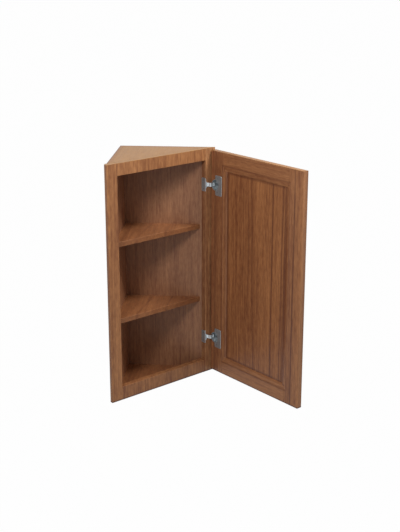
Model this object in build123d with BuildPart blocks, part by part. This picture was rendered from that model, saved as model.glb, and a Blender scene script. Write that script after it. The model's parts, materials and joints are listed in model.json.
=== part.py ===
from build123d import *
import math
import os

# Angled wall end cabinet: a corner-cut wall cabinet with one full overlay door.
# Millimetres, +Z up. The origin is the middle of the face that hangs on the wall;
# +Y goes into the wall, +X runs along it from the side panel to the hinge end.

# Overall box, frame included: along the wall, out from the wall, and height
cabinet_width = 304.8
cabinet_depth = 304.8
cabinet_height = 762.0

# Case panels
side_thickness = 12.7
back_thickness = 12.7
deck_thickness = 12.7
shelf_thickness = 15.875
shelf_tops = (261.5, 510.5)
shelf_setback = 25.4
dado_depth = 6.35

# Face frame, which stands on the slanted front
frame_thickness = 19.05
stile_width = 39.7
top_rail_width = 38.1
bottom_rail_width = 44.45
stile_overhang = 4.7625
free_nose = 11.1
wall_nose = 1.2
tenon_length = 12.7
tenon_thickness = 6.35
tenon_shoulder = 6.35

# Door, five pieces with a flat floating panel
door_thickness = 19.05
door_reveal = 6.35
door_gap = 3.0
door_stile_width = 60.3
door_rail_width = 60.3
door_panel_thickness = 6.35
groove_depth = 9.5
panel_side_clearance = 1.5
groove_play = 0.1
door_easing = 1.5
open_angle = 89.0

# Hinges: the pivot is measured from the door's hinge edge and inner face
pivot_inset = 6.0
pivot_depth = 6.4
hinge_from_top = 117.3
hinge_from_bottom = 125.1
cup_radius = 17.5
cup_wall = 1.0
cup_depth = 11.5
cup_edge_distance = 3.0
cup_clearance = 0.1
bore_extra_depth = 0.5
flange_thickness = 1.2
flange_start = 20.0
flange_end = 51.0
flange_height = 66.0
flange_corner = 5.0
flange_bevel = 0.6
flange_lip = 0.8
pin_radius = 1.0
pin_length = 16.0
cheek_reach = 2.6
cheek_span = 19.0
pin_clearance = 0.05
eye_radius = 1.9
arm_thickness = 1.2
arm_width = 12.0
arm_rise = 1.8
arm_rise_run = 5.0
arm_drop_run = 3.0
arm_foot_reach = 2.0
arm_bend = 1.5
wide_arm_start = 22.5
eye_width = 10.4
eye_side_clearance = 0.7
plate_height = 44.0
plate_depth = 18.5
plate_corner = 4.0
ear_reach = 6.5
ear_radius = 14.0
leaf_thickness = 0.5
leaf_width = 8.0
leaf_gap = 0.3
leaf_end = 34.0
leaf_bend = 13.0
leaf_nose_reach = 1.6

# Screws
screw_head_radius = 3.2
screw_radius = 1.5
screw_length = 14.0
cup_screw_spacing = 45.0
cup_screw_offset = 9.5
plate_screw_spacing = 28.0

# The slanted front: its direction towards the wall end, and its outward normal
slant_length = math.hypot(cabinet_width, cabinet_depth)
along = Vector(cabinet_width / slant_length, cabinet_depth / slant_length)
outward = Vector(cabinet_depth / slant_length, -cabinet_width / slant_length)
front_distance = cabinet_width * cabinet_depth / slant_length


def slant_at_x(x, behind):
    """Plan point at x, on the line that lies behind the frame's front."""
    return Vector(x, (front_distance - behind - outward.X * x) / outward.Y)


def slant_at_y(y, behind):
    """Plan point at y, on the line that lies behind the frame's front."""
    return Vector((front_distance - behind - outward.Y * y) / outward.X, y)


# Plan points are measured from the wall corner of the side panel, at the bottom
case = Plane(origin=(-cabinet_width / 2, 0, -cabinet_height / 2))
free_end = slant_at_x(outward.X * free_nose - stile_overhang, 0)
wall_end = slant_at_y(outward.Y * wall_nose, 0)
frame_length = (wall_end - free_end).length

# The frame's own plane: x runs from the wall end to the free end, y is outward
face = Plane(
    origin=case.from_local_coords(wall_end),
    x_dir=along * -1,
    z_dir=(0, 0, 1),
)


def on_face(plan_point):
    """A plan point in the frame's own plane."""
    gap = plan_point - wall_end
    return (-gap.dot(along), gap.dot(outward))


# The door's own plane: x from the hinge edge to the free edge, y from the inner
# face to the outer one, turned about the pivot from closed to its open angle
door_width = frame_length - 2 * door_reveal
door_height = cabinet_height - 2 * door_reveal
pivot_on_face = (door_reveal + pivot_inset, door_gap + pivot_depth)
pivot = face.from_local_coords((*pivot_on_face, 0))
turn = math.radians(open_angle)
door_along = face.x_dir * math.cos(turn) + face.y_dir * math.sin(turn)
door_outward = face.y_dir * math.cos(turn) - face.x_dir * math.sin(turn)
door = Plane(
    origin=pivot - door_along * pivot_inset - door_outward * pivot_depth + Vector(0, 0, door_reveal),
    x_dir=door_along,
    z_dir=(0, 0, 1),
)
hinge_heights = {
    "upper": cabinet_height - hinge_from_top,
    "lower": hinge_from_bottom,
}

def wood_screws(places, mode=Mode.ADD):
    """Flat-head screws, or their holes, with heads flush at each place."""
    sink = screw_head_radius - screw_radius
    down = (Align.CENTER, Align.CENTER, Align.MAX)
    with Locations(*places):
        Cylinder(screw_radius, screw_length, align=down, mode=mode)
        Cone(screw_radius, screw_head_radius, sink, align=down, mode=mode)


def cup_screw_places(height):
    """Screw heads on the cup's flange, pointing out of the door's inner face."""
    x = cup_centre_x + cup_screw_offset
    z = height - door_reveal
    return [
        door.location * Location((x, -flange_thickness, z + side * cup_screw_spacing / 2), (90, 0, 0))
        for side in (-1, 1)
    ]


def plate_screw_places(height):
    """Screw heads on the plate, pointing into the frame's opening."""
    return [
        face.location * Location(
            (stile_width + arm_thickness, -plate_depth / 2, height + side * plate_screw_spacing / 2),
            (0, 90, 0),
        )
        for side in (-1, 1)
    ]


cup_centre_x = cup_edge_distance + cup_radius
all_cup_screws = [place for height in hinge_heights.values() for place in cup_screw_places(height)]
all_plate_screws = [place for height in hinge_heights.values() for place in plate_screw_places(height)]


# Face frame

free_stile_outline = [
    (frame_length - stile_width, 0),
    (frame_length, 0),
    (frame_length, -free_nose),
    on_face(slant_at_x(-stile_overhang, frame_thickness)),
    (frame_length - stile_width, -frame_thickness),
]
wall_stile_outline = [
    (0, 0),
    (stile_width, 0),
    (stile_width, -frame_thickness),
    on_face(slant_at_y(0, frame_thickness)),
    (0, -wall_nose),
]
rail_spans = {
    "top": (cabinet_height - top_rail_width, top_rail_width),
    "bottom": (0, bottom_rail_width),
}


def across_frame(bottom, height, length, thickness, mode=Mode.ADD):
    """A bar along the frame, centred in its length and thickness."""
    middle = (frame_length / 2, -frame_thickness / 2, bottom)
    with Locations(face.location * Location(middle)):
        Box(length, thickness, height, align=(Align.CENTER, Align.CENTER, Align.MIN), mode=mode)


def rail_tenons(bottom, width, mode=Mode.ADD):
    """The tenons at both ends of a rail, as one bar, or the mortises for them."""
    length = frame_length - 2 * stile_width + 2 * tenon_length
    across_frame(bottom + tenon_shoulder, width - 2 * tenon_shoulder, length, tenon_thickness, mode)


def frame_stile(outline):
    """A stile of the full height, with a mortise for each rail."""
    with BuildPart() as stile:
        with BuildSketch(face):
            Polygon(*outline, align=None)
        extrude(amount=cabinet_height)
        for bottom, width in rail_spans.values():
            rail_tenons(bottom, width, Mode.SUBTRACT)
    return stile


def frame_rail(bottom, width):
    """A rail between the stiles, with its tenons."""
    with BuildPart() as rail:
        across_frame(bottom, width, frame_length - 2 * stile_width, frame_thickness)
        rail_tenons(bottom, width)
    return rail


left_stile = frame_stile(free_stile_outline)
top_rail = frame_rail(*rail_spans["top"])
bottom_rail = frame_rail(*rail_spans["bottom"])

wall_stile_blank = frame_stile(wall_stile_outline)
with BuildPart() as right_stile:
    add(wall_stile_blank.part)
    wood_screws(all_plate_screws, Mode.SUBTRACT)


# Case

def level_outline(inset, behind):
    """A level piece in the case: let into both walls, its front behind the frame's."""
    return [
        (side_thickness - inset, inset - back_thickness),
        slant_at_y(inset - back_thickness, behind),
        slant_at_x(side_thickness - inset, behind),
    ]


side_outline = [
    (0, 0),
    (side_thickness, 0),
    slant_at_x(side_thickness, frame_thickness),
    slant_at_x(0, frame_thickness),
]
back_outline = [
    (side_thickness, 0),
    slant_at_y(0, frame_thickness),
    slant_at_y(-back_thickness, frame_thickness),
    (side_thickness, -back_thickness),
]
corner_tongue_outline = [
    (side_thickness - dado_depth, -back_thickness / 2),
    (side_thickness, -back_thickness / 2),
    (side_thickness, -back_thickness),
    (side_thickness - dado_depth, -back_thickness),
]
deck_outline = level_outline(0, frame_thickness)
deck_tongue_outline = level_outline(dado_depth, frame_thickness)
shelf_outline = level_outline(dado_depth, shelf_setback)

# What is let into the walls: outline, underside and thickness of each
lower_tongue = (deck_tongue_outline, deck_thickness / 2, deck_thickness / 2)
upper_tongue = (deck_tongue_outline, cabinet_height - deck_thickness, deck_thickness / 2)
shelf_slabs = [(shelf_outline, top - shelf_thickness, shelf_thickness) for top in shelf_tops]
corner_tongue = (corner_tongue_outline, deck_thickness, cabinet_height - 2 * deck_thickness)


def slab(outline, bottom, thickness):
    """A level slab of the case, with its underside at a height."""
    with BuildPart() as piece:
        with BuildSketch(case.offset(bottom)):
            Polygon(*outline, align=None)
        extrude(amount=thickness)
    return piece


def joined(slabs, let_in=()):
    """Slabs as one piece, with housings for the slabs that are let into it."""
    with BuildPart() as piece:
        for item in slabs:
            add(slab(*item).part)
        for item in let_in:
            add(slab(*item).part, mode=Mode.SUBTRACT)
    return piece


housed = [lower_tongue, upper_tongue, *shelf_slabs]
side_panel = joined([(side_outline, 0, cabinet_height)], [*housed, corner_tongue])
back_panel = joined([(back_outline, 0, cabinet_height), corner_tongue], housed)
top_panel = joined([(deck_outline, cabinet_height - deck_thickness, deck_thickness), upper_tongue])
bottom_panel = joined([(deck_outline, 0, deck_thickness), lower_tongue])
lower_shelf, upper_shelf = [slab(*item) for item in shelf_slabs]


# Door

groove_width = door_panel_thickness + 2 * groove_play
opening_width = door_width - 2 * door_stile_width
opening_height = door_height - 2 * door_rail_width
tongue_length = groove_depth - panel_side_clearance


def on_rim(edge):
    """True for the edges round the outside of the door's two faces."""
    middle = door.to_local_coords(edge.center())
    on_a_face = min(abs(middle.Y), abs(middle.Y - door_thickness)) < 0.01
    across = min(abs(middle.X), abs(middle.X - door_width))
    upright = min(abs(middle.Z), abs(middle.Z - door_height))
    return on_a_face and min(across, upright) < 0.01


def door_stile(start, groove_start):
    """A stile from one end of the door to the other, grooved along its inner edge."""
    with BuildPart() as stile:
        with BuildSketch(door):
            with Locations((start, 0)):
                Rectangle(door_stile_width, door_thickness, align=(Align.MIN, Align.MIN))
            with Locations((groove_start, door_thickness / 2)):
                Rectangle(groove_depth, groove_width, align=(Align.MIN, Align.CENTER), mode=Mode.SUBTRACT)
        extrude(amount=door_height)
        fillet(stile.edges().filter_by(on_rim), door_easing)
    return stile


def door_rail(bottom, groove_bottom):
    """A rail between the stiles, with a tongue at each end and a groove for the panel."""
    start = door.from_local_coords((door_stile_width, 0, bottom))
    section = Plane(origin=start, x_dir=door.y_dir, z_dir=door.x_dir)
    tongue_bottom = 0 if groove_bottom > 0 else groove_depth
    with BuildPart() as rail:
        with BuildSketch(section):
            Rectangle(door_thickness, door_rail_width, align=(Align.MIN, Align.MIN))
            with Locations((door_thickness / 2, groove_bottom)):
                Rectangle(groove_width, groove_depth, align=(Align.CENTER, Align.MIN), mode=Mode.SUBTRACT)
        extrude(amount=opening_width)
        with BuildSketch(section.offset(-tongue_length)):
            with Locations((door_thickness / 2, tongue_bottom)):
                Rectangle(door_panel_thickness, door_rail_width - groove_depth, align=(Align.CENTER, Align.MIN))
        extrude(amount=opening_width + 2 * tongue_length)
        fillet(rail.edges().filter_by(on_rim), door_easing)
    return rail


door_free_stile = door_stile(door_width - door_stile_width, door_width - door_stile_width)
door_top_rail = door_rail(door_height - door_rail_width, 0)
door_bottom_rail = door_rail(0, door_rail_width - groove_depth)


def cup_mouth(height):
    """The plane of a cup's mouth, in the door's inner face, looking out of the door."""
    return Plane(
        origin=door.from_local_coords((cup_centre_x, 0, height - door_reveal)),
        x_dir=door.x_dir,
        z_dir=door.y_dir * -1,
    )


hinge_blank = door_stile(0, door_stile_width - groove_depth)
with BuildPart() as door_hinge_stile:
    add(hinge_blank.part)
    for height in hinge_heights.values():
        with BuildSketch(cup_mouth(height)):
            Circle(cup_radius)
        extrude(amount=-cup_depth - bore_extra_depth, mode=Mode.SUBTRACT)
    wood_screws(all_cup_screws, Mode.SUBTRACT)

with BuildPart() as door_panel:
    with BuildSketch(door.offset(door_rail_width - tongue_length)):
        with Locations((door_width / 2, door_thickness / 2)):
            Rectangle(opening_width + 2 * tongue_length, door_panel_thickness)
    extrude(amount=opening_height + 2 * tongue_length)


# Hinges

arm_half = arm_thickness / 2
pivot_x, pivot_y = pivot_on_face
arm_foot = stile_width - ear_reach - arm_foot_reach
arm_path = [
    (pivot_x + eye_radius - arm_half, pivot_y),
    (pivot_x + arm_rise_run, pivot_y + arm_rise),
    (arm_foot - arm_drop_run, pivot_y + arm_rise),
    (arm_foot, arm_half),
    (stile_width, arm_half),
]


def strip(height, width, start=0):
    """The bent arm in plan, from a distance along the frame, at a width up the frame."""
    with BuildSketch(face.offset(height - width / 2)) as section:
        with BuildLine():
            FilletPolyline(*arm_path, radius=arm_bend)
        trace(line_width=arm_thickness)
        with Locations((start, 0)):
            Rectangle(stile_width, pivot_y * 4, align=(Align.MIN, Align.CENTER), mode=Mode.INTERSECT)
    return section


def hinge_plate(height):
    """The plate that wraps the stile's inner edge, with the bent arm and its eye."""
    with BuildPart() as plate:
        with Locations(face.location * Location((stile_width, arm_thickness, height))):
            Box(
                arm_thickness,
                plate_depth + arm_thickness,
                plate_height,
                align=(Align.MIN, Align.MAX, Align.CENTER),
            )
        corners = plate.edges().filter_by(lambda edge: abs(edge.length - arm_thickness) < 0.001)
        fillet(corners, plate_corner)
        ear = Plane(
            origin=face.from_local_coords((stile_width + arm_thickness, 0, height)),
            x_dir=face.x_dir,
            z_dir=face.y_dir,
        )
        with BuildSketch(ear):
            with Locations((ear_radius - ear_reach - arm_thickness, 0)):
                Circle(ear_radius)
            Rectangle(
                2 * ear_radius,
                2 * ear_radius,
                align=(Align.MAX, Align.CENTER),
                mode=Mode.INTERSECT,
            )
        extrude(amount=arm_thickness)
        add(strip(height, eye_width).sketch)
        extrude(amount=eye_width)
        add(strip(height, arm_width, wide_arm_start).sketch)
        extrude(amount=arm_width)
        with BuildSketch(face.offset(height - eye_width / 2)):
            with Locations(pivot_on_face):
                Circle(eye_radius)
        extrude(amount=eye_width)
        with BuildSketch(face.offset(height - eye_width / 2)):
            with Locations(pivot_on_face):
                Circle(pin_radius + pin_clearance)
        extrude(amount=eye_width, mode=Mode.SUBTRACT)
        wood_screws(plate_screw_places(height), Mode.SUBTRACT)
    return plate


def pin_place(height):
    """The pivot pin's middle."""
    return door.location * Location((pivot_inset, pivot_depth, height - door_reveal))


def hinge_cup(height):
    """The cup pressed into the door: flange, arm slot and cheeks that hold the pin."""
    mouth = cup_mouth(height)
    inner_radius = cup_radius - cup_clearance - cup_wall
    slot_width = eye_width + 2 * eye_side_clearance
    slot_depth = flange_thickness + pivot_depth + eye_radius + eye_side_clearance / 2
    with BuildPart() as cup:
        with BuildSketch(mouth):
            with Locations(((flange_start + flange_end) / 2 - cup_centre_x, 0)):
                RectangleRounded(flange_end - flange_start, flange_height, flange_corner)
            Circle(cup_radius + flange_lip)
        extrude(amount=flange_thickness)
        front = cup.faces().sort_by(Axis(mouth.origin, mouth.z_dir))[-1]
        chamfer(front.edges(), flange_bevel)
        with BuildSketch(mouth):
            Circle(cup_radius - cup_clearance)
        extrude(amount=-cup_depth)
        with BuildSketch(mouth.offset(flange_thickness)):
            Circle(inner_radius)
        extrude(amount=cup_wall - cup_depth - flange_thickness, mode=Mode.SUBTRACT)
        with BuildSketch(mouth):
            with Locations((pivot_inset - cup_centre_x, 0)):
                Rectangle(2 * cheek_reach, cheek_span)
                Rectangle(2 * cheek_reach, slot_width, mode=Mode.SUBTRACT)
            Circle(cup_radius - cup_clearance, mode=Mode.INTERSECT)
        extrude(amount=-pivot_depth - cheek_reach)
        with BuildSketch(mouth.offset(flange_thickness)):
            with Locations((pivot_inset - cup_centre_x, 0)):
                Rectangle(cup_radius, slot_width, align=(Align.MAX, Align.CENTER))
        extrude(amount=-slot_depth, mode=Mode.SUBTRACT)
        with Locations(pin_place(height)):
            Cylinder(pin_radius, pin_length, mode=Mode.SUBTRACT)
        wood_screws(cup_screw_places(height), Mode.SUBTRACT)
    return cup


def closing_spring(height):
    """The leaf in the cup that presses on the arm's eye."""
    floor = cup_depth - cup_wall - leaf_thickness / 2
    nose = pivot_depth + eye_radius + leaf_gap + leaf_thickness / 2
    with BuildPart() as leaf:
        with BuildSketch(door.offset(height - door_reveal - leaf_width / 2)):
            with BuildLine():
                Polyline(
                    (leaf_end, floor),
                    (leaf_bend, floor),
                    (pivot_inset + leaf_nose_reach, nose),
                    (pivot_inset - leaf_nose_reach / 2, nose),
                )
            trace(line_width=leaf_thickness)
        extrude(amount=leaf_width)
    return leaf


with BuildPart() as hinge_pins:
    with Locations(*[pin_place(height) for height in hinge_heights.values()]):
        Cylinder(pin_radius, pin_length)

with BuildPart() as cup_screws:
    wood_screws(all_cup_screws)

with BuildPart() as plate_screws:
    wood_screws(all_plate_screws)


pieces = {
    "left_stile": left_stile,
    "right_stile": right_stile,
    "top_rail": top_rail,
    "bottom_rail": bottom_rail,
    "side_panel": side_panel,
    "back_panel": back_panel,
    "top_panel": top_panel,
    "bottom_panel": bottom_panel,
    "lower_shelf": lower_shelf,
    "upper_shelf": upper_shelf,
    "plate_screws": plate_screws,
    "door_hinge_stile": door_hinge_stile,
    "door_free_stile": door_free_stile,
    "door_top_rail": door_top_rail,
    "door_bottom_rail": door_bottom_rail,
    "door_panel": door_panel,
    "hinge_pins": hinge_pins,
    "cup_screws": cup_screws,
}
for place, height in hinge_heights.items():
    pieces[f"{place}_hinge_plate"] = hinge_plate(height)
    pieces[f"{place}_hinge_cup"] = hinge_cup(height)
    pieces[f"{place}_closing_spring"] = closing_spring(height)

os.makedirs("parts", exist_ok=True)
for name, piece in pieces.items():
    piece.part.label = name
    export_step(piece.part, f"parts/{name}.step")
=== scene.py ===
"""The finish of an angled wall end cabinet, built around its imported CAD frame."""

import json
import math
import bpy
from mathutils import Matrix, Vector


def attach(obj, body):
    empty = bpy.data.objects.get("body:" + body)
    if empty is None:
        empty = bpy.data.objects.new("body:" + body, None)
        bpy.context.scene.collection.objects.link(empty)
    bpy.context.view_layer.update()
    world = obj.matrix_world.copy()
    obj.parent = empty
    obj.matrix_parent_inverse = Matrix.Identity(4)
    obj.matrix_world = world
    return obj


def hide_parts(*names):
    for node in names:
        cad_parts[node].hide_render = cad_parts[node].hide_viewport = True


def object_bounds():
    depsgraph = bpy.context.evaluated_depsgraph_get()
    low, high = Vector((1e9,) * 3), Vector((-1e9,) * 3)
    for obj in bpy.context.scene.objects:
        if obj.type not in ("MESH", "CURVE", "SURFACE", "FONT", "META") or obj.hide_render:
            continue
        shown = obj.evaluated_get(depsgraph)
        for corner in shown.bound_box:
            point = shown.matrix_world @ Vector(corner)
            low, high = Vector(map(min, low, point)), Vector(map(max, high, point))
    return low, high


bl_info = {
    "name": "Angled Wall End Cabinet",
    "version": (1, 0, 0),
    "blender": (4, 5, 0),
    "location": "3D View > Sidebar > Cabinet",
    "description": "Boards, hinges and screws of a corner-cut wall cabinet, with their finishes",
    "category": "Add Mesh",
}

import bmesh
import bpy
from mathutils import Matrix, Vector

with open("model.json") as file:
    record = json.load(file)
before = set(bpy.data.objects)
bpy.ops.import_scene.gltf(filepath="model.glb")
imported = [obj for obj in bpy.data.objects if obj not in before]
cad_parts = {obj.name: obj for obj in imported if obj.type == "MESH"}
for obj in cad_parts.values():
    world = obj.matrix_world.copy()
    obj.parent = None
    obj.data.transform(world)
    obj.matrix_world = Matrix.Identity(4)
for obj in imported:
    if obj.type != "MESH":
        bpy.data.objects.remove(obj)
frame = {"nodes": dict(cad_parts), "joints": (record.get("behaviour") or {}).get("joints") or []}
cad_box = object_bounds()

MM = 0.001
UP = Vector((0, 0, 1))
ACROSS = Vector((1, 0, 0))
INTO_WALL = Vector((0, 1, 0))

# The slanted front runs at 45 degrees, and the door stands open by its joint's travel
SLANT = (ACROSS + INTO_WALL).normalized()
FRONT = (ACROSS - INTO_WALL).normalized()
DOOR_OPEN = Matrix.Rotation(math.radians(-frame["joints"][0]["range_deg"][0]), 3, "Z")
DOOR_ALONG = DOOR_OPEN @ -SLANT
DOOR_FRONT = DOOR_OPEN @ FRONT

# Directions of a board: across its grain, through its thickness and along its grain
FRAME_GRAIN = (-SLANT, FRONT, UP)
SIDE_GRAIN = (INTO_WALL, -ACROSS, UP)
BACK_GRAIN = (ACROSS, INTO_WALL, UP)
LEVEL_GRAIN = (ACROSS, UP, INTO_WALL)
DOOR_GRAIN = (DOOR_ALONG, DOOR_FRONT, UP)
DOOR_RAIL_GRAIN = (UP, DOOR_FRONT, DOOR_ALONG)

# The grain of each board starts this much further than that of the board before it
GRAIN_SHIFT = Vector((0.37, 0.11, 1.7))
BOARDS = (
    "left_stile",
    "right_stile",
    "top_rail",
    "bottom_rail",
    "side_panel",
    "back_panel",
    "top_panel",
    "bottom_panel",
    "lower_shelf",
    "upper_shelf",
    "door_hinge_stile",
    "door_free_stile",
    "door_top_rail",
    "door_bottom_rail",
    "door_panel",
)

# Layers of the grain: how fine each is across and along its board, its detail and its roughness
LAYERS = {
    "bands": (26.0, 0.55, 2.0, 0.55),
    "figure": (105.0, 3.0, 2.0, 0.6),
    "fibre": (330.0, 14.0, 2.0, 0.6),
    "blotch": (9.0, 4.0, 2.0, 0.5),
    "flecks": (150.0, 42.0, 1.0, 0.5),
    "hairs": (1300.0, 36.0, 2.0, 0.6),
    "pores": (900.0, 60.0, 2.0, 0.6),
    "late_wood": (190.0, 2.2, 1.0, 0.5),
    "veins": (17.0, 0.9, 3.0, 0.6),
}

# How far a layer lightens and darkens the wood, and how high it stands in the surface
TONES = {"bands": 0.8, "figure": 1.2, "fibre": 0.9, "blotch": 0.5, "flecks": 0.85, "hairs": 0.8}
RELIEF = {"fibre": 0.4, "hairs": 0.3, "pores": -0.9, "figure": 0.3}

# Where a layer's dark marks begin and are full, and how strong they are
MARKS = {"pores": (0.56, 0.68, 1.0), "late_wood": (0.60, 0.72, 0.45), "veins": (0.62, 0.78, 0.55)}

# Corners, planes and faces that the mesh work takes as one
SAME_CORNER = 0.001 * MM
SAME_POINT = 0.002 * MM
SAME_PLANE = 0.02 * MM
SAME_FACE_ANGLE = math.radians(0.5)

# Edges over the first angle are eased, in so many steps, and those over the second stay crisp
EASED_ANGLE = math.radians(25)
EASING_STEPS = 2
CRISP_ANGLE = math.radians(50)


# Settings


def colour_setting(name, description, value):
    """A colour that a user can change."""
    return bpy.props.FloatVectorProperty(
        name=name,
        description=description,
        default=value,
        size=3,
        min=0,
        max=1,
        subtype="COLOR",
    )


def length_setting(name, description, millimetres):
    """A length that a user can change, kept in metres."""
    return bpy.props.FloatProperty(
        name=name,
        description=description,
        default=millimetres * MM,
        min=0,
        unit="LENGTH",
        precision=5,
    )


def turn_setting(name, description, degrees):
    """An angle that a user can change."""
    return bpy.props.FloatProperty(
        name=name,
        description=description,
        default=math.radians(degrees),
        unit="ROTATION",
    )


def power_setting(name, description, watts):
    """The power of a lamp."""
    return bpy.props.FloatProperty(
        name=name,
        description=description,
        default=watts,
        min=0,
        unit="POWER",
    )


def share_setting(name, description, value):
    """A share from none to all."""
    return bpy.props.FloatProperty(
        name=name,
        description=description,
        default=value,
        min=0,
        max=1,
        subtype="FACTOR",
    )


class CABINET_PG_wood(bpy.types.PropertyGroup):
    """Colours of the stained wood."""

    frame_colour: colour_setting("Face frame", "Stain on the face frame", (0.378, 0.156, 0.062))
    # The right stile's paler colour is painted light, where the open door shades it
    painted_light_stile_colour: colour_setting(
        "Right stile", "Paler stain on the frame's right stile", (0.430, 0.196, 0.086)
    )
    case_colour: colour_setting("Case", "Stain inside the case", (0.318, 0.143, 0.072))
    shelf_colour: colour_setting("Shelves", "Stain on the shelves", (0.312, 0.121, 0.048))
    door_colour: colour_setting("Door frame", "Stain on the door's frame", (0.400, 0.159, 0.065))
    panel_colour: colour_setting("Door panel", "Stain on the door's panel", (0.370, 0.138, 0.051))
    top_colour: colour_setting(
        "Top", "Paler tone of the top panel and the face frame's upper edges", (0.368, 0.170, 0.044)
    )
    lipping_colour: colour_setting(
        "Lippings", "Upper edges of the side panel, back panel and door", (0.325, 0.140, 0.036)
    )
    # The streak colour also paints shade in corners, recesses and along arrises
    streak_and_shade_colour: colour_setting("Streaks", "Dark lines in the grain", (0.095, 0.027, 0.016))
    gloss: share_setting("Lacquer", "How much clear lacquer lies on the wood", 0.10)


class CABINET_PG_metal(bpy.types.PropertyGroup):
    """Colours of the hinges and screws."""

    plate_colour: colour_setting("Hinges", "Nickel plate on the hinges", (0.44, 0.48, 0.50))
    screw_colour: colour_setting("Screws", "Zinc plate on the screws", (0.36, 0.38, 0.39))


class CABINET_PG_sizes(bpy.types.PropertyGroup):
    """Small sizes that the finish adds to the boards and hinges."""

    board_easing: length_setting("Board easing", "Softened arrises of the boards", 0.8)
    metal_easing: length_setting("Metal easing", "Softened edges of pressed metal", 0.18)
    recess_length: length_setting("Cross length", "Length of the cross in a screw's head", 3.8)
    recess_width: length_setting("Cross width", "Width of each arm of the cross", 0.9)
    recess_depth: length_setting("Cross depth", "Depth of the cross", 1.1)
    moulding_width: length_setting("Moulding width", "Moulded inner edge of the door's frame", 17)
    moulding_step: length_setting("Moulding step", "Small step at the moulding's outer side", 1.4)
    moulding_reach: length_setting("Moulding reach", "How far it stands in from the stiles", 12)


class CABINET_PG_stage(bpy.types.PropertyGroup):
    """Camera, lights and floor."""

    camera_place: bpy.props.FloatVectorProperty(
        name="Camera place",
        description="Where the camera stands, from the middle of the cabinet's wall face",
        default=(0.3538, -3.2799, 1.0234),
        size=3,
        unit="LENGTH",
    )
    camera_tilt: turn_setting("Camera tilt", "How far the camera looks down", 17.557)
    camera_turn: turn_setting("Camera turn", "How far the camera looks to the left", 4.371)
    focal_length: bpy.props.FloatProperty(
        name="Focal length",
        description="Focal length of the lens in millimetres, on a 36 mm frame",
        default=70.79,
        min=1,
    )
    key_turn: turn_setting("Key turn", "How far right of the front the key light stands", 75)
    key_height: turn_setting("Key height", "How high the key light stands", 62)
    key_power: power_setting("Key power", "Power of the key light", 14.4)
    front_turn: turn_setting("Front turn", "How far right of the front its light stands", -20)
    front_height: turn_setting("Front height", "How high the front light stands", 38)
    front_power: power_setting("Front power", "Power of the front light", 7.6)
    light_distance: length_setting("Light distance", "From the cabinet's middle to a light", 1600)
    light_width: length_setting("Light width", "Width of both round lights", 330)
    room_light: bpy.props.FloatProperty(
        name="Room light",
        description="Level of the white room round the cabinet",
        default=0.30,
        min=0,
    )
    floor_drop: length_setting("Floor drop", "How far the floor lies under the cabinet", 1050)


# Shader maths


class Wire:
    """An output of a shader node, so that shader maths reads as Python."""

    def __init__(self, graph, socket):
        self.graph = graph
        self.socket = socket

    def _math(self, operation, *values, clamp=False):
        settings = {"operation": operation, "use_clamp": clamp}
        return self.graph.add("ShaderNodeMath", settings, dict(enumerate(values)))

    def _vector_math(self, operation, other, output):
        settings = {"operation": operation}
        return self.graph.add("ShaderNodeVectorMath", settings, {0: self, 1: other}, output)

    def __add__(self, other):
        return self._math("ADD", self, other)

    def __radd__(self, other):
        return self._math("ADD", other, self)

    def __sub__(self, other):
        return self._math("SUBTRACT", self, other)

    def __rsub__(self, other):
        return self._math("SUBTRACT", other, self)

    def __mul__(self, other):
        return self._math("MULTIPLY", self, other)

    def __rmul__(self, other):
        return self._math("MULTIPLY", other, self)

    def __abs__(self):
        return self._math("ABSOLUTE", self)

    def between(self, low, high):
        """0 at low and 1 at high, with a smooth run between them."""
        settings = {"interpolation_type": "SMOOTHSTEP"}
        values = {"Value": self, "From Min": low, "From Max": high}
        return self.graph.add("ShaderNodeMapRange", settings, values)

    def larger(self, other):
        """The larger of two values."""
        return self._math("MAXIMUM", self, other)

    def clamped(self):
        """The value held between 0 and 1."""
        return self._math("ADD", self, 0.0, clamp=True)

    def scaled(self, factors):
        """A vector multiplied by three factors."""
        return self._vector_math("MULTIPLY", factors, "Vector")

    def along(self, direction):
        """How far a vector reaches along a direction."""
        return self._vector_math("DOT_PRODUCT", direction, "Value")

    def part(self, axis):
        """One number of a vector."""
        return self.graph.add("ShaderNodeSeparateXYZ", {}, {0: self}, axis)


class Graph:
    """The node tree of a material or a world."""

    def __init__(self, owner):
        owner.use_nodes = True
        self.tree = owner.node_tree
        self.tree.nodes.clear()

    def add(self, kind, settings, inputs, output=0):
        """Adds a node, sets its settings and then its sockets' values or links."""
        node = self.tree.nodes.new(kind)
        for name, value in settings.items():
            setattr(node, name, value)
        for key, value in inputs.items():
            if isinstance(value, Wire):
                self.tree.links.new(value.socket, node.inputs[key])
            else:
                node.inputs[key].default_value = value
        return Wire(self, node.outputs[output]) if node.outputs else None

    def place(self):
        """The place on the piece, in the shared frame."""
        return self.add("ShaderNodeTexCoord", {}, {}, "Object")

    def noise(self, vector, factors, detail=2.0, roughness=0.5):
        """Soft noise from 0 to 1 round a half, made finer by three factors."""
        inputs = {"Vector": vector.scaled(factors), "Scale": 1.0}
        inputs.update({"Detail": detail, "Roughness": roughness})
        return self.add("ShaderNodeTexNoise", {}, inputs)

    def mix(self, factor, first, second):
        """A colour between two, by a factor."""
        settings = {"data_type": "RGBA"}
        return self.add("ShaderNodeMix", settings, {0: factor, 6: first, 7: second}, 2)

    def vector(self, x, y, z):
        """A vector from three numbers."""
        return self.add("ShaderNodeCombineXYZ", {}, {0: x, 1: y, 2: z})

    def bump(self, height, strength, distance):
        """A bent normal from a height."""
        inputs = {"Strength": strength, "Distance": distance, "Height": height}
        return self.add("ShaderNodeBump", {}, inputs)

    def surface(self, **sockets):
        """Ends the tree in a principled surface."""
        inputs = {name.replace("_", " "): value for name, value in sockets.items()}
        shader = self.add("ShaderNodeBsdfPrincipled", {}, inputs)
        self.add("ShaderNodeOutputMaterial", {}, {0: shader})


def opaque(colour):
    """A colour with full alpha, as colour sockets take it."""
    return (*colour, 1.0)


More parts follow.
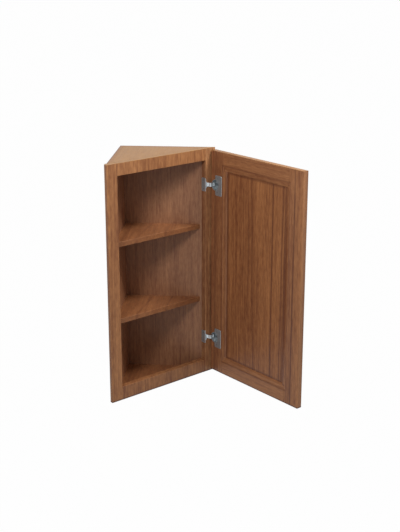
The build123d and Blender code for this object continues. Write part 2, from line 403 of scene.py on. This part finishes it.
def stained(colour, factor):
    """An opaque colour along the stain's own scale: redder where it is darker."""
    powers = (0.9, 1.15, 1.1)
    return opaque(channel * factor**power for channel, power in zip(colour, powers))


def shade(colour, factor):
    """A lighter or darker version of a colour."""
    return tuple(min(1.0, channel * factor) for channel in colour)


# Finishes


def grain_start(node):
    """Where a board's grain starts, so that no two boards look alike."""
    return GRAIN_SHIFT * (BOARDS.index(node) + 1)


def streak(node, across, along=0.0, lean=0.0, width=5.0, strength=1.0):
    """A dark streak through a place on a board, in metres, with its width in millimetres."""
    grain = grain_start(node)
    start = across + grain.x - (along + grain.z) * lean
    return start, lean, width * MM, strength


def streak_line(g, board, drift, line):
    """A streak in the shader, with soft sides and broken along the grain."""
    start, lean, width, strength = line
    sway = 10.0 * MM
    core = width * 0.2
    middle = abs(board.part(0) + drift * sway - start - board.part(2) * lean)
    broken = g.noise(board, (40.0, 40.0, 3.5)).between(0.20, 0.55)
    return (1.0 - middle.between(core, width)) * broken * strength


def low_arris_shade(place, level):
    """Painted shade along the lowest arris, over a level."""
    full, gone, strength = 2.6 * MM, 5.2 * MM, 0.85
    return (1.0 - place.part(2).between(level + full, level + gone)) * strength


def outside(place, box):
    """How far a place on the door lies outside a box that is given across and up the door."""
    left, right, bottom, top = box
    across = abs(place.along(DOOR_ALONG) - (left + right) / 2) - (right - left) / 2
    upward = abs(place.part(2) - (bottom + top) / 2) - (top - bottom) / 2
    return across.larger(upward)


def pale_upper(g, body, board, place, level, colour):
    """The wood with a paler, speckled tone on faces at its upper level."""
    begins, full = 1.2 * MM, 0.6 * MM
    darkest, lightest = 0.82, 1.18
    top = place.part(2).between(level - begins, level - full)
    speckle = g.noise(board, (90.0, 90.0, 20.0), detail=3.0)
    pale = g.mix(speckle, stained(colour, darkest), stained(colour, lightest))
    return g.mix(top, body, pale)


def wood(name, colour, contrast=1.0, streaks=(), upper=None, stain=None):
    """Stained straight-grained wood, read from the board coordinate of each piece."""
    settings = bpy.context.scene.cabinet_wood
    finish = bpy.data.materials.new(name)
    g = Graph(finish)
    board = g.add("ShaderNodeAttribute", {"attribute_name": "board"}, {}, "Vector")
    # The edge value lightens worn arrises, partly as painted highlight, and paints light and shade
    # on some sides
    edge = g.add("ShaderNodeAttribute", {"attribute_name": "edge"}, {}, "Fac")
    place = g.place()

    # The grain wanders sideways over a board, and its layers are stretched along it
    wander = 30.0 * MM
    drift = g.noise(board, (3.0, 3.0, 1.1), detail=1.0) - 0.5
    grain = g.vector(board.part(0) + drift * wander, board.part(1), board.part(2))
    layers = {}
    for layer, (across, along, detail, roughness) in LAYERS.items():
        layers[layer] = g.noise(grain, (across, across, along), detail, roughness)

    # The stain's tone follows the grain; the edge value makes worn arrises lighter, partly as
    # painted highlight, paints light on the door's free edge and paints shade on sides turned away
    # from the lamps
    darkest, lightest, edge_light_and_wear = 0.56, 1.46, 0.42
    tone = sum((layers[layer] - 0.5) * share for layer, share in TONES.items())
    tone = (tone * contrast + 0.5 + edge * edge_light_and_wear).clamped()
    body = g.mix(tone, stained(colour, darkest), stained(colour, lightest))

    # Late wood and veins are dark lines, with the pronounced streaks that this board shows
    dark = opaque(settings.streak_and_shade_colour)
    line_depth, pore_depth = 0.75, 0.28
    for layer, (begins, full, strength) in MARKS.items():
        layers[layer] = layers[layer].between(begins, full) * strength
    lines = layers["veins"] + layers["late_wood"]
    for line in streaks:
        lines = lines + streak_line(g, board, drift, line)
    body = g.mix((lines * contrast).clamped() * line_depth, body, dark)
    body = g.mix(layers["pores"] * pore_depth, body, dark)

    # Faces at the upper level take a paler tone, and the stain callback paints shade in corners,
    # recesses and along arrises
    if upper is not None:
        body = pale_upper(g, body, board, place, *upper)
    if stain is not None:
        body = g.mix(stain(place).clamped(), body, dark)

    # Fibres and pores make the surface rougher
    plain_roughness, fibre_roughness, pore_roughness = 0.46, 0.16, 0.15
    roughness = plain_roughness + (layers["fibre"] - 0.5) * fibre_roughness
    rise = sum(layers[layer] * height for layer, height in RELIEF.items())
    g.surface(
        Base_Color=body,
        Roughness=roughness + layers["pores"] * pore_roughness,
        Specular_IOR_Level=0.32,
        Coat_Weight=settings.gloss,
        Coat_Roughness=0.28,
        Normal=g.bump(rise, strength=0.25, distance=0.4 * MM),
    )
    return finish


def metal(name, colour, roughness, inside=None, arm=None):
    """Plated pressed steel, brushed and patchy, with painted shade inside the cup or a painted
    highlight on the arm.
    """
    finish = bpy.data.materials.new(name)
    g = Graph(finish)
    place = g.place()
    brushing = g.noise(place, (700.0, 700.0, 5000.0))
    patches = g.noise(place, (140.0, 140.0, 140.0), detail=3.0)
    dull, clean, painted_cup_shade, bright = [opaque(shade(colour, f)) for f in (0.84, 1.12, 0.85, 1.85)]
    tint = g.mix(patches, dull, clean)
    # Painted shade inside the cup, and a painted highlight on the arm
    cup_shade_share, cup_shade_run, arm_highlight_run = 0.85, 2.5 * MM, 2.0 * MM
    if inside is not None:
        cup_shade_mask = place.along(DOOR_FRONT).between(inside, inside + cup_shade_run)
        tint = g.mix(cup_shade_mask * cup_shade_share, tint, painted_cup_shade)
    if arm is not None:
        tint = g.mix(place.along(FRONT).between(arm, arm + arm_highlight_run), tint, bright)
    brushed, patched = 0.14, 0.12
    g.surface(
        Base_Color=tint,
        Metallic=0.62,
        Roughness=roughness + (brushing - 0.5) * brushed + (patches - 0.5) * patched,
        Normal=g.bump(brushing, strength=0.12, distance=0.2 * MM),
    )
    return finish


# Meshes


def finish_piece(name, mesh, material, body, slot, *nodes):
    """Puts a mesh in the scene as a piece that stands for CAD nodes."""
    piece = bpy.data.objects.new(name, mesh)
    bpy.context.scene.collection.objects.link(piece)
    mesh.materials.clear()
    mesh.materials.append(material)
    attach(piece, body)
    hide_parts(*nodes)

    # Broad faces stay flat where a smooth easing meets them
    keeper = piece.modifiers.new("flat_faces", "WEIGHTED_NORMAL")
    keeper.keep_sharp = True
    keeper.weight = 100


def reach(node, direction):
    """A CAD node's lowest and highest place along a direction."""
    places = [direction.dot(vertex.co) for vertex in frame["nodes"][node].data.vertices]
    return min(places), max(places)


def is_outermost(face, vertices):
    """True if no vertex of the solid lies beyond the face's plane."""
    level = face.normal.dot(face.verts[0].co)
    return all(face.normal.dot(vertex.co) < level + SAME_PLANE for vertex in vertices)


def cleaned(node):
    """A node's solid with shared corners and whole flat faces."""
    work = bmesh.new()
    work.from_mesh(frame["nodes"][node].data)
    bmesh.ops.remove_doubles(work, verts=work.verts, dist=SAME_CORNER)
    bmesh.ops.dissolve_limit(
        work, angle_limit=SAME_FACE_ANGLE, verts=work.verts, edges=work.edges
    )
    work.normal_update()
    return work


def is_sharp(edge):
    """True for an edge where two faces meet at a clear angle."""
    return len(edge.link_faces) == 2 and edge.calc_face_angle(0) > EASED_ANGLE


def eased(work, width, wanted):
    """The mesh with its wanted sharp edges rounded."""
    bmesh.ops.bevel(
        work,
        geom=[edge for edge in work.edges if is_sharp(edge) and wanted(edge)],
        offset=width,
        offset_type="OFFSET",
        segments=EASING_STEPS,
        profile=0.5,
        affect="EDGES",
        clamp_overlap=True,
    )
    return whole_mesh(work)


def whole_mesh(work):
    """The mesh that was worked on."""
    mesh = bpy.data.meshes.new("work")
    work.to_mesh(mesh)
    work.free()
    return mesh


def shaded(mesh, name):
    """The finished mesh without doubled corners, smooth over easings and flat on faces."""
    work = bmesh.new()
    work.from_mesh(mesh)
    bmesh.ops.remove_doubles(work, verts=work.verts, dist=SAME_POINT)
    bmesh.ops.dissolve_degenerate(work, edges=work.edges, dist=SAME_POINT)
    work.to_mesh(mesh)
    work.free()
    mesh.name = name
    mesh.shade_smooth()
    mesh.set_sharp_from_angle(angle=CRISP_ANGLE)
    return mesh


def mark_mitres(mesh):
    """Keeps the moulding's mitre lines crisp, where its faces turn both across and upward."""
    least = 0.02
    work = bmesh.new()
    work.from_mesh(mesh)
    for edge in work.edges:
        if len(edge.link_faces) == 2:
            turn = edge.link_faces[0].normal - edge.link_faces[1].normal
            if abs(turn.z) > least and abs(turn.dot(DOOR_ALONG)) > least:
                edge.smooth = False
    work.to_mesh(mesh)
    work.free()


def carved(mesh, tool, operation="DIFFERENCE"):
    """The mesh without the tool's shape, or with it joined on."""
    pair = [bpy.data.objects.new("carving", data) for data in (mesh, tool)]
    for item in pair:
        bpy.context.scene.collection.objects.link(item)
    step = pair[0].modifiers.new("carve", "BOOLEAN")
    step.operation = operation
    step.solver = "EXACT"
    step.object = pair[1]
    ready = pair[0].evaluated_get(bpy.context.evaluated_depsgraph_get())
    result = bpy.data.meshes.new_from_object(ready)
    for item in pair:
        bpy.data.objects.remove(item)
    return result


def lofted(rings):
    """A closed solid through rings of corners."""
    work = bmesh.new()
    loops = [[work.verts.new(corner) for corner in ring] for ring in rings]
    for lower, upper in zip(loops, loops[1:]):
        for index in range(len(lower)):
            after = (index + 1) % len(lower)
            work.faces.new((lower[index], lower[after], upper[after], upper[index]))
    work.faces.new(loops[0])
    work.faces.new(loops[-1])
    bmesh.ops.recalc_face_normals(work, faces=work.faces)
    return whole_mesh(work)


def door_ring(left, right, bottom, top, out):
    """The corners of a rectangle that is given across and up the door, at one depth of it."""
    corners = ((left, bottom), (right, bottom), (right, top), (left, top))
    return [DOOR_ALONG * along + DOOR_FRONT * out + UP * up for along, up in corners]


def store_grain(mesh, directions, start):
    """Writes each vertex's place on its board: across, through and along the grain."""
    values = []
    for vertex in mesh.vertices:
        values.extend(Vector([way.dot(vertex.co) for way in directions]) + start)
    stored = mesh.attributes.new("board", "FLOAT_VECTOR", "POINT")
    stored.data.foreach_set("vector", values)


def store_edge_light_and_wear(mesh, body):
    """Marks worn arrises as lighter, partly as painted highlight, the door's free edge as lighter
    with painted light, and sides turned away from the lamps as darker with painted shade.
    """
    worn_width = 0.75 * MM
    rather, squarely = 0.8, 0.9
    # Lighter values are worn arrises and painted light, negative ones are painted shade
    lighter, plain, painted_inner_shade, painted_left_shade = 0.7, 0.0, -0.5, -1.0
    values = []
    for face in mesh.polygons:
        corners = [mesh.vertices[index].co for index in face.vertices]
        pairs = zip(corners, corners[1:] + corners[:1])
        worn = face.area < worn_width * max((first - second).length for first, second in pairs)
        free_edge = body == "door" and face.normal.dot(DOOR_ALONG) > squarely
        value = lighter if worn or free_edge else plain
        if face.normal.dot(ACROSS) < -rather:
            value = painted_left_shade
        elif body == "cabinet" and face.normal.dot(SLANT) < -squarely:
            value = painted_inner_shade
        values.append(value)
    stored = mesh.attributes.new("edge", "FLOAT", "FACE")
    stored.data.foreach_set("value", values)


def wooden_piece(node, body, slot, material, directions, joined=(), removed=()):
    """A board: the CAD solid with eased outer arrises, its moulding and its grain."""
    name = f"{node}_board"
    work = cleaned(node)
    outer = {face.index for face in work.faces if is_outermost(face, work.verts)}
    width = bpy.context.scene.cabinet_sizes.board_easing
    mesh = eased(work, width, lambda edge: all(face.index in outer for face in edge.link_faces))
    for blank in joined:
        mesh = carved(mesh, blank, "UNION")
    for cutter in removed:
        mesh = carved(mesh, cutter)
    shaded(mesh, name)
    if removed:
        mark_mitres(mesh)
    store_grain(mesh, directions, grain_start(node))
    store_edge_light_and_wear(mesh, body)
    finish_piece(name, mesh, material, body, slot, node)


def pressed_piece(name, node, body, slot, material, removed=()):
    """A metal part: the CAD solid with softened edges and its recesses."""
    mesh = eased(cleaned(node), bpy.context.scene.cabinet_sizes.metal_easing, lambda edge: True)
    for cutter in removed:
        mesh = carved(mesh, cutter)
    finish_piece(name, shaded(mesh, name), material, body, slot, node)


# Operators


class CABINET_OT_face_frame(bpy.types.Operator):
    """Builds the stiles and rails of the face frame"""

    bl_idname = "cabinet.face_frame"
    bl_label = "Face Frame"

    def execute(self, context):
        settings = context.scene.cabinet_wood
        foot, head = cad_box[0].z, cad_box[1].z
        # The right stile takes its paler colour as painted light, and painted shade runs along the
        # lowest arris
        boards = (
            ("left_stile", settings.frame_colour),
            ("right_stile", settings.painted_light_stile_colour),
            ("top_rail", settings.frame_colour),
            ("bottom_rail", settings.frame_colour),
        )
        for node, colour in boards:
            finish = wood(
                f"{node}_wood_finish",
                colour,
                upper=(head, settings.top_colour),
                stain=lambda place: low_arris_shade(place, foot),
            )
            wooden_piece(node, "cabinet", "frame_wood", finish, FRAME_GRAIN)
        return {"FINISHED"}


class CABINET_OT_case(bpy.types.Operator):
    """Builds the side, back, top and bottom panels"""

    bl_idname = "cabinet.case"
    bl_label = "Case"

    def execute(self, context):
        settings = context.scene.cabinet_wood
        head = cad_box[1].z
        upright = wood(
            "case_wood_finish",
            settings.case_colour,
            contrast=0.8,
            upper=(head, settings.lipping_colour),
            stain=self.outer_arris_shade,
        )
        level = wood(
            "top_wood_finish",
            settings.top_colour,
            contrast=0.35,
            upper=(head, settings.top_colour),
        )
        inside = wood("floor_wood_finish", settings.shelf_colour, contrast=0.6)
        wooden_piece("side_panel", "cabinet", "case_wood", upright, SIDE_GRAIN)
        wooden_piece("back_panel", "cabinet", "case_wood", upright, BACK_GRAIN)
        wooden_piece("top_panel", "cabinet", "case_wood", level, LEVEL_GRAIN)
        wooden_piece("bottom_panel", "cabinet", "case_wood", inside, LEVEL_GRAIN)
        return {"FINISHED"}

    def outer_arris_shade(self, place):
        """Painted shade along the outer upper arrises of the side and back panels."""
        full, gone, strength = 2.0 * MM, 4.5 * MM, 0.7
        begins, whole = 3.0 * MM, 1.0 * MM
        side = reach("side_panel", ACROSS)[0]
        head = cad_box[1].z
        left = 1.0 - place.part(0).between(side + full, side + gone)
        rear = place.part(1).between(-gone, -full)
        return left.larger(rear) * place.part(2).between(head - begins, head - whole) * strength


class CABINET_OT_shelves(bpy.types.Operator):
    """Builds the two fixed shelves"""

    bl_idname = "cabinet.shelves"
    bl_label = "Shelves"

    def execute(self, context):
        colour = context.scene.cabinet_wood.shelf_colour
        for node in ("lower_shelf", "upper_shelf"):
            streaks = [
                streak(node, across=-0.062, along=-0.074, lean=0.17, width=6.0, strength=0.75),
                streak(node, across=0.008, along=-0.055, lean=0.10, width=5.0, strength=0.75),
            ]
            finish = wood(f"{node}_wood_finish", colour, streaks=streaks, contrast=0.55)
            wooden_piece(node, "cabinet", "shelf_wood", finish, LEVEL_GRAIN)
        return {"FINISHED"}


class CABINET_OT_door(bpy.types.Operator):
    """Builds the door's moulded stiles and rails and its floating panel"""

    bl_idname = "cabinet.door"
    bl_label = "Door"

    def execute(self, context):
        settings = context.scene.cabinet_wood
        pale = (reach("door_hinge_stile", UP)[1], settings.lipping_colour)
        stiles = wood(
            "door_stile_wood_finish",
            settings.door_colour,
            streaks=[
                streak("door_free_stile", across=0.4885, width=5.0, strength=0.9),
                streak("door_hinge_stile", across=0.131, width=9.0, strength=0.45),
            ],
            upper=pale,
            stain=self.stile_painted_shade,
        )
        rails = wood(
            "door_rail_wood_finish",
            settings.door_colour,
            contrast=0.8,
            upper=pale,
            stain=self.rail_painted_shade,
        )
        flat = wood(
            "door_panel_wood_finish",
            settings.panel_colour,
            streaks=[
                streak("door_panel", across=0.3895, width=4.5, strength=0.8),
                streak("door_panel", across=0.3010, lean=-0.0215, width=4.5, strength=0.6),
                streak("door_panel", across=0.4330, lean=0.01, width=4.5, strength=0.6),
            ],
            stain=self.panel_painted_shade,
        )
        cutters = self.cutters()
        for node in ("door_hinge_stile", "door_free_stile"):
            blanks = self.blanks(node)
            wooden_piece(node, "door", "door_wood", stiles, DOOR_GRAIN, blanks, cutters)
        for node in ("door_top_rail", "door_bottom_rail"):
            wooden_piece(node, "door", "door_wood", rails, DOOR_RAIL_GRAIN, removed=cutters)
        wooden_piece("door_panel", "door", "door_panel_wood", flat, DOOR_GRAIN)
        return {"FINISHED"}

    def faces(self):
        """Both faces of the door's frame, each with the panel's face behind it."""
        frame_low, frame_high = reach("door_hinge_stile", DOOR_FRONT)
        panel_low, panel_high = reach("door_panel", DOOR_FRONT)
        return (frame_low, panel_low), (frame_high, panel_high)

    def opening(self):
        """The frame's opening: lowest and highest place across and up."""
        left = reach("door_hinge_stile", DOOR_ALONG)[1]
        right = reach("door_free_stile", DOOR_ALONG)[0]
        bottom = reach("door_bottom_rail", UP)[1]
        top = reach("door_top_rail", UP)[0]
        return left, right, bottom, top

    def recess(self):
        """The panel that shows inside the moulding: lowest and highest place across and up."""
        margin = bpy.context.scene.cabinet_sizes.moulding_reach
        left, right, bottom, top = self.opening()
        return left + margin, right - margin, bottom, top

    def widened_recess(self, margin):
        """The recess with a margin all round it."""
        left, right, bottom, top = self.recess()
        return left - margin, right + margin, bottom - margin, top + margin

    def cutters(self):
        """What a moulded edge with mitred corners takes away from each face."""
        sizes = bpy.context.scene.cabinet_sizes
        over_face, draft, steps = 1.0 * MM, 0.3 * MM, 8
        tools = []
        for face, panel in self.faces():
            depth = panel - face
            inward = math.copysign(1.0, depth)
            step = inward * sizes.moulding_step
            profile = [(0.0, -inward * over_face), (draft, step)]
            for index in range(1, steps + 1):
                turn = math.pi / 2 * index / steps
                inset = draft + sizes.moulding_width * math.sin(turn)
                profile.append((inset, step + (depth - step) * (1 - math.cos(turn))))
            rings = []
            for inset, drop in profile:
                box = self.widened_recess(sizes.moulding_width - inset)
                rings.append(door_ring(*box, face + drop))
            tools.append(lofted(rings))
        return tools

    def blanks(self, node):
        """The wood of the moulding beside a stile, one strip on each face."""
        overlap, under_face, over_panel = 1.0 * MM, 0.8 * MM, 0.15 * MM
        left, right, bottom, top = self.opening()
        inner_left, inner_right = self.recess()[:2]
        if node == "door_hinge_stile":
            low, high = left - overlap, inner_left
        else:
            low, high = inner_right, right + overlap
        strips = []
        for face, panel in self.faces():
            inward = math.copysign(1.0, panel - face)
            depths = (face + inward * under_face, panel - inward * over_panel)
            strips.append(lofted([door_ring(low, high, bottom, top, out) for out in depths]))
        return strips

    def rail_painted_shade(self, place):
        """Painted shade along the lowest arris and in a line beside the moulding."""
        beside, full, gone, strength = 1.2 * MM, 0.8 * MM, 3.0 * MM, 0.38
        moulding = self.widened_recess(bpy.context.scene.cabinet_sizes.moulding_width)
        line = 1.0 - abs(outside(place, moulding) - beside).between(full, gone)
        foot = reach("door_hinge_stile", UP)[0]
        return low_arris_shade(place, foot) + line * strength

    def stile_painted_shade(self, place):
        """The rails' painted shade, with painted shade on the hinge stile's moulding and towards
        the hinge side, and a darker free edge.
        """
        moulding_shade_strength, edge_strength, hinge_shade_strength = 0.38, 0.4, 0.17
        across = place.along(DOOR_ALONG)
        through = place.along(DOOR_FRONT)
        inner = self.recess()[0]
        # Painted shade on the hinge stile's moulding
        moulding = across.between(inner - 12.0 * MM, inner - 6.0 * MM)
        moulding = moulding * (1.0 - across.between(inner + 10.0 * MM, inner + 11.0 * MM))
        side = reach("door_free_stile", DOOR_ALONG)[1]
        outer = reach("door_free_stile", DOOR_FRONT)[1]
        free_edge = across.between(side - 1.2 * MM, side - 0.4 * MM)
        free_edge = free_edge * through.between(outer - 15.0 * MM, outer - 2.0 * MM)
        opening = self.opening()[0]
        # Painted shade towards the hinge side, where the cabinet shades the door
        hinge_shade = 1.0 - across.between(opening - 19.8 * MM, opening + 5.2 * MM)
        added = moulding * moulding_shade_strength + free_edge * edge_strength
        return self.rail_painted_shade(place) + added + hinge_shade * hinge_shade_strength

    def panel_painted_shade(self, place):
        """Painted shade round the panel, and a wider painted shadow beside the free stile."""
        strength = 0.5
        recess = self.recess()
        line = outside(place, recess).between(-10.0 * MM, -3.0 * MM)
        free_stile_shadow = place.along(DOOR_ALONG).between(recess[1] - 12.0 * MM, recess[1] - 6.0 * MM)
        return (line * strength).larger(free_stile_shadow * strength)


class CABINET_OT_hinges(bpy.types.Operator):
    """Builds the plates, cups, pins and springs of both hinges"""

    bl_idname = "cabinet.hinges"
    bl_label = "Hinges"

    def execute(self, context):
        colour = context.scene.cabinet_metal.plate_colour
        # Where the cup's painted shade and the arm's painted highlight begin
        cup_shade_from = reach("upper_hinge_cup", DOOR_FRONT)[0] + 1.0 * MM
        arm = reach("plate_screws", FRONT)[1] + 2.5 * MM
        plate = metal("hinge_steel_finish", colour, roughness=0.34, arm=arm)
        cup = metal("cup_steel_finish", colour, roughness=0.40, inside=cup_shade_from)
        bright = metal("pin_steel_finish", shade(colour, 1.6), roughness=0.22)
        dark = metal("spring_steel_finish", shade(colour, 0.4), roughness=0.30)
        for level in ("upper", "lower"):
            pressed_piece(
                f"{level}_wrap_plate", f"{level}_hinge_plate", "cabinet", "hinge_steel", plate
            )
            pressed_piece(f"{level}_door_cup", f"{level}_hinge_cup", "door", "hinge_steel", cup)
            pressed_piece(
                f"{level}_leaf_spring", f"{level}_closing_spring", "door", "spring_steel", dark
            )
        pressed_piece("pivot_pins", "hinge_pins", "door", "pin_steel", bright)
        return {"FINISHED"}


class CABINET_OT_screws(bpy.types.Operator):
    """Builds the screws that hold the hinges, with a cross in each head"""

    bl_idname = "cabinet.screws"
    bl_label = "Screws"

    def execute(self, context):
        finish = metal("screw_steel_finish", context.scene.cabinet_metal.screw_colour, 0.30)
        sets = (
            ("plate_wood_screws", "plate_screws", "cabinet", SLANT, FRONT),
            ("cup_wood_screws", "cup_screws", "door", DOOR_FRONT, DOOR_ALONG),
        )
        for name, node, body, inward, sideways in sets:
            crosses = [self.cross(head, inward, sideways) for head in self.heads(node, inward)]
            pressed_piece(name, node, body, "screw_steel", finish, crosses)
        return {"FINISHED"}

    def heads(self, node, inward):
        """The middle of each screw's head, from the CAD corners that lie in the heads' plane."""
        same_level, gap = 0.05 * MM, 4.0 * MM
        sideways = inward.cross(UP)
        level = reach(node, inward)[0] + same_level
        corners = [vertex.co for vertex in frame["nodes"][node].data.vertices]
        groups = []
        for corner in sorted(corners, key=lambda place: place.z):
            if inward.dot(corner) < level:
                if not groups or corner.z - groups[-1][-1].z > gap:
                    groups.append([])
                groups[-1].append(corner)
        middles = []
        for group in groups:
            middle = (group[0] + group[-1]) / 2
            places = [sideways.dot(corner) for corner in group]
            middle += sideways * ((min(places) + max(places)) / 2 - sideways.dot(middle))
            middles.append(middle)
        return middles

    def cross(self, head, inward, sideways):
        """The cross that a driver fits, tapering inwards."""
        sizes = bpy.context.scene.cabinet_sizes
        over_head, deepest_share = 0.5 * MM, 0.45
        levels = ((-over_head, 1.0), (0.0, 1.0), (sizes.recess_depth, deepest_share))
        rings = []
        for depth, share in levels:
            long = sizes.recess_length / 2 * share
            short = sizes.recess_width / 2 * share
            quarter = ((long, -short), (long, short), (short, short))
            corners = []
            for turn in range(4):
                corners.extend(quarter)
                quarter = tuple((-y, x) for x, y in quarter)
            rings.append([head + inward * depth + sideways * x + UP * y for x, y in corners])
        return lofted(rings)


class CABINET_OT_stage(bpy.types.Operator):
    """Sets the camera, the lights and the pale floor"""

    bl_idname = "cabinet.stage"
    bl_label = "Stage"

    def execute(self, context):
        scene = context.scene
        settings = scene.cabinet_stage
        scene.view_settings.view_transform = "Standard"
        self.add_camera(scene, settings)
        lamps = (
            ("key_light", settings.key_turn, settings.key_height, settings.key_power),
            ("front_light", settings.front_turn, settings.front_height, settings.front_power),
        )
        for lamp in lamps:
            self.add_lamp(scene, settings, *lamp)
        self.add_floor(scene, settings)
        self.add_room(scene, settings)
        return {"FINISHED"}

    def add_camera(self, scene, settings):
        """A camera where the photographer's stood."""
        lens = bpy.data.cameras.new("camera")
        lens.lens = settings.focal_length
        camera = bpy.data.objects.new("camera", lens)
        camera.location = settings.camera_place
        camera.rotation_euler = (math.pi / 2 - settings.camera_tilt, 0, settings.camera_turn)
        scene.collection.objects.link(camera)
        scene.camera = camera

    def add_lamp(self, scene, settings, name, turn, height, power):
        """A large soft round light, aimed at the cabinet's middle."""
        lamp = bpy.data.lights.new(name, "AREA")
        lamp.shape = "DISK"
        lamp.size = settings.light_width
        lamp.energy = power
        light = bpy.data.objects.new(name, lamp)
        level = math.cos(height)
        direction = Vector((math.sin(turn) * level, -math.cos(turn) * level, math.sin(height)))
        light.location = (cad_box[0] + cad_box[1]) / 2 + direction * settings.light_distance
        light.rotation_euler = direction.to_track_quat("Z", "Y").to_euler()
        scene.collection.objects.link(light)

    def add_floor(self, scene, settings):
        """A wide pale floor that reads as white behind the cabinet."""
        half = 80.0
        level = cad_box[0].z - settings.floor_drop
        mesh = bpy.data.meshes.new("floor")
        sides = ((-half, -half), (half, -half), (half, half), (-half, half))
        mesh.from_pydata([(x, y, level) for x, y in sides], [], [(0, 1, 2, 3)])
        finish = bpy.data.materials.new("floor_finish")
        g = Graph(finish)
        grey, pale = (0.75, 0.79, 0.85), (0.79, 0.83, 0.89)
        glow_share = 0.985
        speckle = g.noise(g.place(), (6.0, 6.0, 6.0), detail=3.0)
        colour = g.mix(speckle, opaque(grey), opaque(pale))
        matte = g.add("ShaderNodeBsdfDiffuse", {}, {"Color": colour})
        glow = g.add("ShaderNodeEmission", {}, {"Color": (1, 1, 1, 1), "Strength": 1.0})
        seen = self.background_rays(g) * glow_share
        both = g.add("ShaderNodeMixShader", {}, {0: seen, 1: matte, 2: glow})
        g.add("ShaderNodeOutputMaterial", {}, {0: both})
        mesh.materials.append(finish)
        floor = bpy.data.objects.new("floor", mesh)
        scene.collection.objects.link(floor)

    def background_rays(self, g):
        """1 for rays that see the background, directly or in a reflection."""
        path = "ShaderNodeLightPath"
        direct = g.add(path, {}, {}, "Is Camera Ray")
        mirrored = g.add(path, {}, {}, "Is Glossy Ray")
        through = g.add(path, {}, {}, "Is Transmission Ray")
        return (direct + mirrored + through).clamped()

    def add_room(self, scene, settings):
        """A white room, seen as white and lighting the cabinet at its own level."""
        world = bpy.data.worlds.new("white_room")
        scene.world = world
        g = Graph(world)
        strength = settings.room_light + self.background_rays(g) * (1.0 - settings.room_light)
        glow = g.add("ShaderNodeBackground", {}, {"Color": (1, 1, 1, 1), "Strength": strength})
        g.add("ShaderNodeOutputWorld", {}, {0: glow})


class CABINET_PT_panel(bpy.types.Panel):
    """Settings and steps of the cabinet"""

    bl_idname = "CABINET_PT_panel"
    bl_label = "Angled Wall End Cabinet"
    bl_space_type = "VIEW_3D"
    bl_region_type = "UI"
    bl_category = "Cabinet"

    def draw(self, context):
        for group in GROUPS:
            settings = getattr(context.scene, group)
            box = self.layout.box()
            for name in settings.__annotations__:
                box.prop(settings, name)
        for operator in OPERATORS:
            self.layout.operator(operator.bl_idname)


OPERATORS = (
    CABINET_OT_face_frame,
    CABINET_OT_case,
    CABINET_OT_shelves,
    CABINET_OT_door,
    CABINET_OT_hinges,
    CABINET_OT_screws,
    CABINET_OT_stage,
)
GROUPS = {
    "cabinet_wood": CABINET_PG_wood,
    "cabinet_metal": CABINET_PG_metal,
    "cabinet_sizes": CABINET_PG_sizes,
    "cabinet_stage": CABINET_PG_stage,
}


def register():
    """Registers the settings, the operators and the panel."""
    for item in (*GROUPS.values(), *OPERATORS, CABINET_PT_panel):
        bpy.utils.register_class(item)
    for name, group in GROUPS.items():
        setattr(bpy.types.Scene, name, bpy.props.PointerProperty(type=group))


def unregister():
    """Takes the panel, the operators and the settings away again."""
    for name in GROUPS:
        delattr(bpy.types.Scene, name)
    for item in reversed((*GROUPS.values(), *OPERATORS, CABINET_PT_panel)):
        bpy.utils.unregister_class(item)


def main():
    """Builds every piece and the stage."""
    register()
    for operator in OPERATORS:
        group, name = operator.bl_idname.split(".")
        getattr(getattr(bpy.ops, group), name)()


if __name__ == "__main__":
    main()
